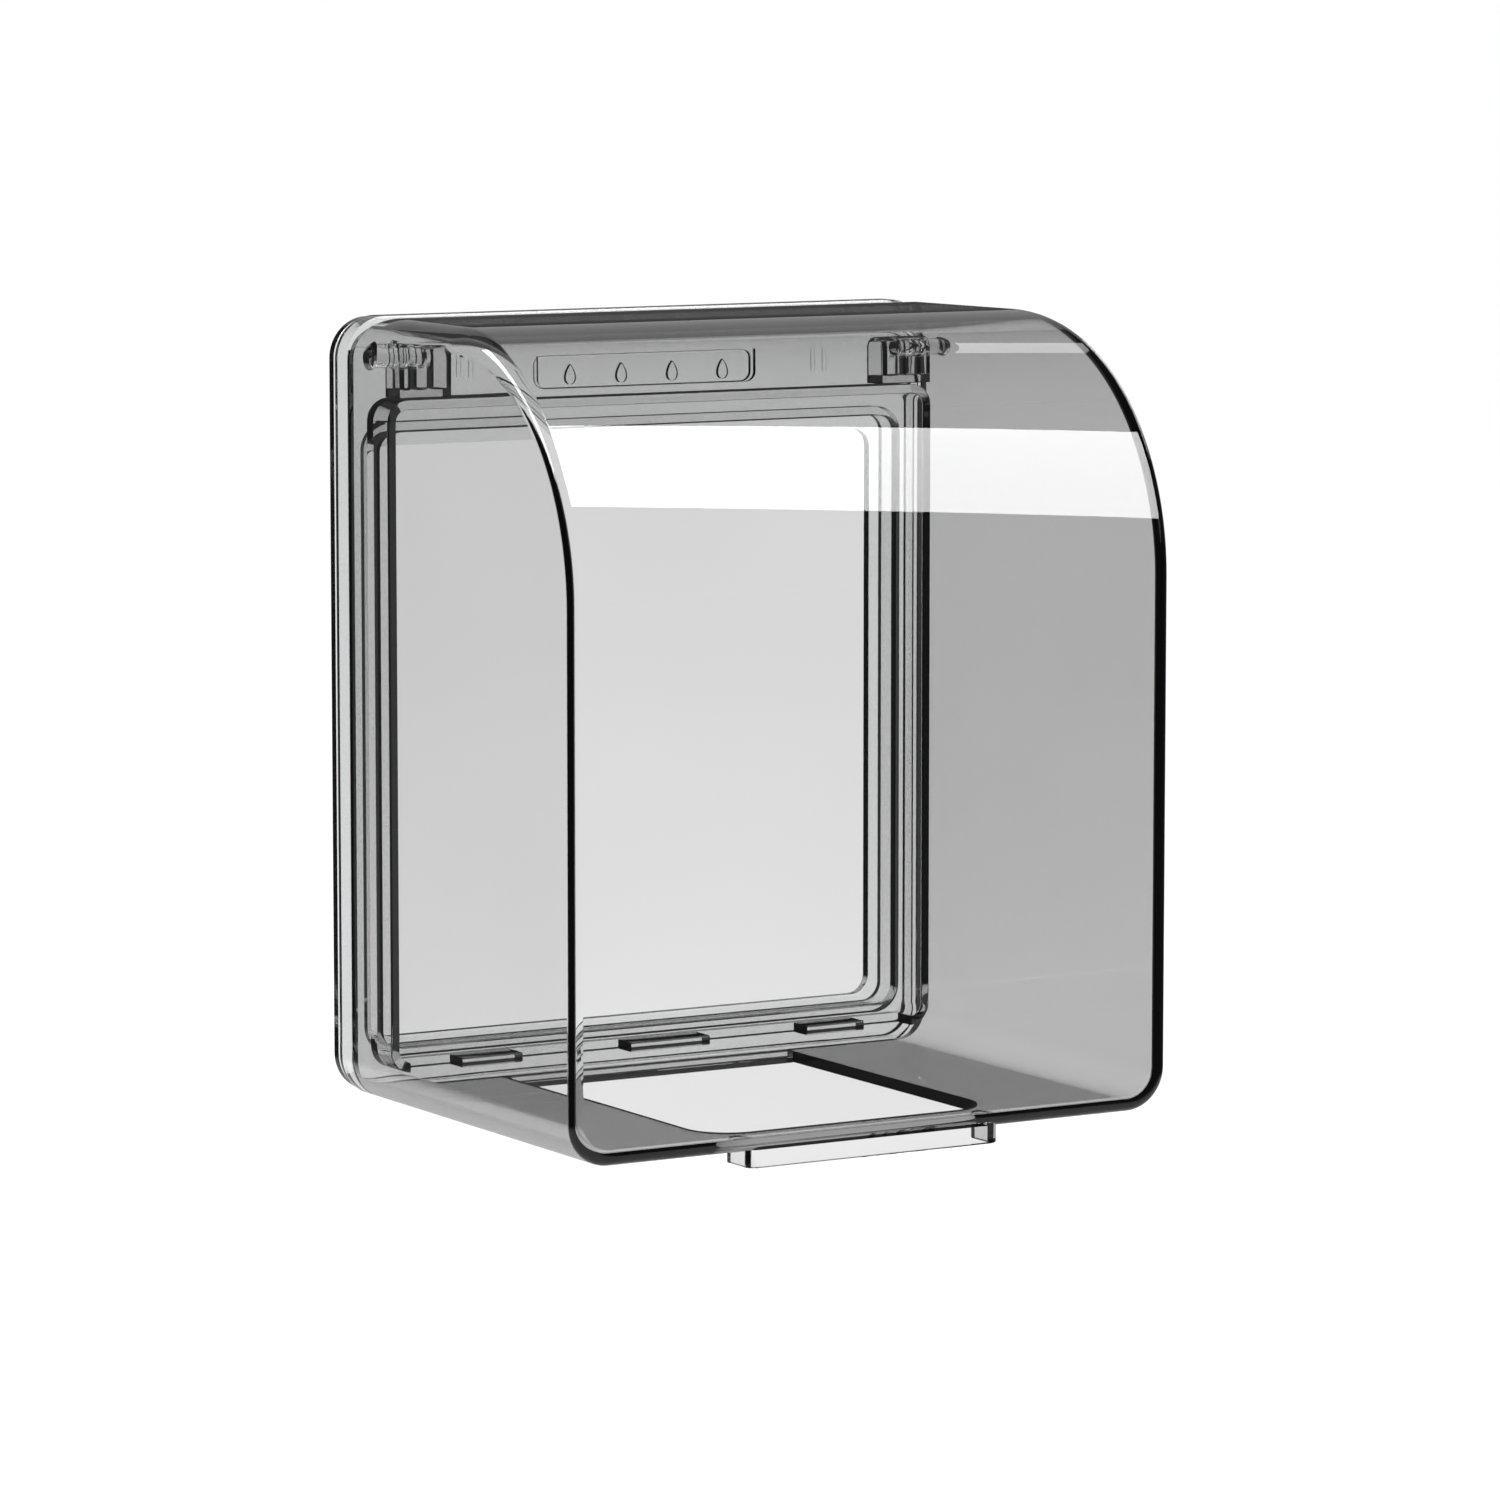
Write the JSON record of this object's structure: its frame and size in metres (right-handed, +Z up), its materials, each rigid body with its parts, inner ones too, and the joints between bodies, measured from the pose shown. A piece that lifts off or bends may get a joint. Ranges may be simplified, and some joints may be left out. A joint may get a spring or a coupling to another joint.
{
  "type": "waterproof socket cover",
  "caption": "Wall-mounted weatherproof box that covers a socket: a clear smoke-grey lid with a rolled top hinges on pins over a collared frame and a flat gasket.",
  "frame": {"origin": "on the back of the gasket, at the middle of its top strip", "axes": "+Y into the wall, -Y to the front of the lid, +X to the right seen from the front, +Z up"},
  "size_m": [0.104, 0.0763, 0.1231],
  "materials": {
    "lid": "polished smoke-grey clear plastic",
    "frame": "polished light smoke clear plastic",
    "bracket": "polished smoke-grey plastic",
    "pin": "smooth smoke-grey plastic",
    "gasket": "soft clear silicone"
  },
  "bodies": {
    "base": {"wall_gasket": "gasket", "back_frame": "frame", "hinge_bracket_left": "bracket", "hinge_bracket_right": "bracket", "hinge_pin_left": "pin", "hinge_pin_right": "pin"},
    "lid": {"lid": "lid"}
  },
  "joints": [
    {"name": "lid_hinge", "type": "hinge", "parent": "base", "child": "lid", "pos_m": [0, -0.0133, 0.0043], "axis": [-1, 0, 0], "range_deg": [0, 90]}
  ]
}
